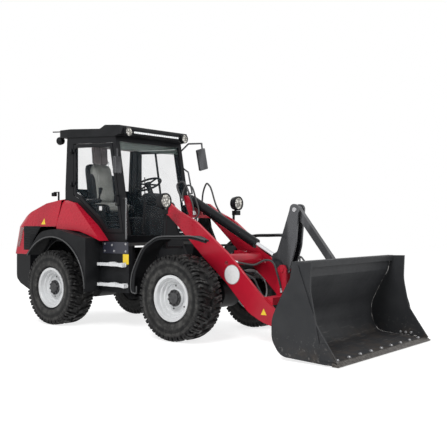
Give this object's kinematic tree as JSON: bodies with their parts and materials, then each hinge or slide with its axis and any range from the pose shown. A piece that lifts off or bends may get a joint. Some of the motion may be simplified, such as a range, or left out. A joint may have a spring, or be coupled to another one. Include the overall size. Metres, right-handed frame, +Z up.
{
  "type": "wheel loader",
  "caption": "Compact articulated wheel loader with a glazed cab, opening doors and hood, a pivoting centre joint, a lifting boom with tilt linkage and a wide digging bucket.",
  "frame": {"origin": "on the ground at the centre of the overall box", "axes": "+X towards the bucket, +Y to the driver's left, +Z up"},
  "size_m": [5.462, 2.02, 2.5997],
  "materials": {
    "red_paint": "gloss red enamel",
    "black_paint": "satin black enamel",
    "black_plastic": "moulded black",
    "step_white": "white enamel",
    "glazing": "clear tinted glass",
    "seat_cover": "dark grey seat cover",
    "lamp_lens": "clear lens in black housing",
    "tail_red": "red lens",
    "rod_chrome": "polished rod",
    "bucket_grey": "dark grey enamel",
    "edge_steel": "worn steel",
    "tyre_rubber": "black rubber",
    "rim_silver": "silver enamel"
  },
  "bodies": {
    "rear_frame": {"rear_chassis": "black_paint", "rear_axle": "black_paint", "counterweight": "black_paint", "engine_block": "black_paint", "rear_fenders": "black_plastic", "side_boxes": "black_plastic", "steps_rails": "step_white", "cab_frame": "black_paint", "cab_floor": "black_paint", "cab_roof": "black_plastic", "cab_glass": "glazing", "seat": "seat_cover", "steering_column": "black_plastic", "mirrors": "black_plastic", "body_lamps": "lamp_lens", "side_panels": "red_paint", "rear_cowl": "black_paint"},
    "front_frame": {"front_chassis": "black_paint", "front_axle": "black_paint", "front_fenders": "black_plastic", "headlamps": "lamp_lens"},
    "hood": {"engine_hood": "red_paint", "hood_grille": "black_paint", "tail_lamps": "tail_red"},
    "door_left": {"door_left": "black_paint", "door_glass_left": "glazing"},
    "door_right": {"door_right": "black_paint", "door_glass_right": "glazing"},
    "boom": {"boom": "red_paint"},
    "lift_barrels": {"lift_barrels": "black_paint"},
    "lift_rods": {"lift_rods": "rod_chrome"},
    "lever": {"lever": "black_paint"},
    "link": {"link": "black_paint"},
    "tilt_barrel": {"tilt_barrel": "black_paint"},
    "tilt_rod": {"tilt_rod": "rod_chrome"},
    "bucket": {"bucket": "bucket_grey", "coupler": "black_paint", "cutting_edge": "edge_steel"},
    "steer_barrel": {"steer_barrel": "black_paint"},
    "steer_rod": {"steer_rod": "rod_chrome"},
    "wheel_front_left": {"tyre_front_left": "tyre_rubber", "rim_front_left": "rim_silver"},
    "wheel_front_right": {"tyre_front_right": "tyre_rubber", "rim_front_right": "rim_silver"},
    "wheel_rear_left": {"tyre_rear_left": "tyre_rubber", "rim_rear_left": "rim_silver"},
    "wheel_rear_right": {"tyre_rear_right": "tyre_rubber", "rim_rear_right": "rim_silver"}
  },
  "joints": [
    {"name": "steering", "type": "hinge", "parent": "rear_frame", "child": "front_frame", "pos_m": [-0.581, 0, 0.59], "axis": [0, 0, 1], "range_deg": [-40, 40]},
    {"name": "boom_lift", "type": "hinge", "parent": "front_frame", "child": "boom", "pos_m": [-0.061, 0, 1.51], "axis": [0, -1, 0], "range_deg": [0, 80]},
    {"name": "bucket_tilt", "type": "hinge", "parent": "boom", "child": "bucket", "pos_m": [1.859, 0, 0.244], "axis": [0, 1, 0], "range_deg": [-42, 105]},
    {"name": "hood_hinge", "type": "hinge", "parent": "rear_frame", "child": "hood", "pos_m": [-1.761, 0, 1.693], "axis": [0, 1, 0], "range_deg": [0, 50]},
    {"name": "door_left_hinge", "type": "hinge", "parent": "rear_frame", "child": "door_left", "pos_m": [-1.581, 0.622, 2], "axis": [0, 0, 1], "range_deg": [0, 100]},
    {"name": "door_right_hinge", "type": "hinge", "parent": "rear_frame", "child": "door_right", "pos_m": [-1.581, -0.622, 2], "axis": [0, 0, -1], "range_deg": [0, 100]},
    {"name": "spin_front_left", "type": "hinge", "parent": "front_frame", "child": "wheel_front_left", "pos_m": [0.5015, 0.74, 0.49], "axis": [0, 1, 0], "continuous": true},
    {"name": "spin_front_right", "type": "hinge", "parent": "front_frame", "child": "wheel_front_right", "pos_m": [0.5015, -0.74, 0.49], "axis": [0, 1, 0], "continuous": true},
    {"name": "spin_rear_left", "type": "hinge", "parent": "rear_frame", "child": "wheel_rear_left", "pos_m": [-1.6635, 0.74, 0.49], "axis": [0, 1, 0], "continuous": true},
    {"name": "spin_rear_right", "type": "hinge", "parent": "rear_frame", "child": "wheel_rear_right", "pos_m": [-1.6635, -0.74, 0.49], "axis": [0, 1, 0], "continuous": true},
    {"name": "lift_barrel_pivot", "type": "hinge", "parent": "front_frame", "child": "lift_barrels", "pos_m": [-0.341, 0, 0.56], "axis": [0, -1, 0], "range_deg": [-1, 35.72]},
    {"name": "lift_rod_slide", "type": "slide", "parent": "lift_barrels", "child": "lift_rods", "axis": [0.9202, 0, 0.3916], "range_m": [-0.002, 0.8127]},
    {"name": "lever_pivot", "type": "hinge", "parent": "boom", "child": "lever", "pos_m": [1.459, 0, 0.811], "axis": [0, 1, 0], "range_deg": [-44, 109]},
    {"name": "link_pivot", "type": "hinge", "parent": "lever", "child": "link", "pos_m": [1.609, 0, 1.484], "axis": [0, 1, 0], "range_deg": [-103, 42]},
    {"name": "tilt_barrel_pivot", "type": "hinge", "parent": "boom", "child": "tilt_barrel", "pos_m": [-0.021, 0, 1.65], "axis": [0, 1, 0], "range_deg": [-6, 4]},
    {"name": "tilt_rod_slide", "type": "slide", "parent": "tilt_barrel", "child": "tilt_rod", "axis": [0.884, 0, -0.4674], "range_m": [-0.075, 0.165]},
    {"name": "steer_barrel_pivot", "type": "hinge", "parent": "rear_frame", "child": "steer_barrel", "pos_m": [-1.181, 0.345, 0.585], "axis": [0, 0, 1], "range_deg": [-12, 12]},
    {"name": "steer_rod_slide", "type": "slide", "parent": "steer_barrel", "child": "steer_rod", "axis": [0.9864, -0.1644, 0], "range_m": [-0.17, 0.17]}
  ],
  "couplings": [
    {"joint": "lift_barrel_pivot", "follows": "boom_lift", "ratio": 0.434},
    {"joint": "lift_rod_slide", "follows": "boom_lift", "m_per_rad": 0.5806},
    {"joint": "lever_pivot", "follows": "bucket_tilt", "ratio": 1.027},
    {"joint": "link_pivot", "follows": "bucket_tilt", "ratio": -0.965},
    {"joint": "tilt_barrel_pivot", "follows": "bucket_tilt", "ratio": -0.0347},
    {"joint": "tilt_rod_slide", "follows": "bucket_tilt", "m_per_rad": 0.0813},
    {"joint": "steer_barrel_pivot", "follows": "steering", "ratio": 0.0287},
    {"joint": "steer_rod_slide", "follows": "steering", "m_per_rad": -0.2257}
  ]
}
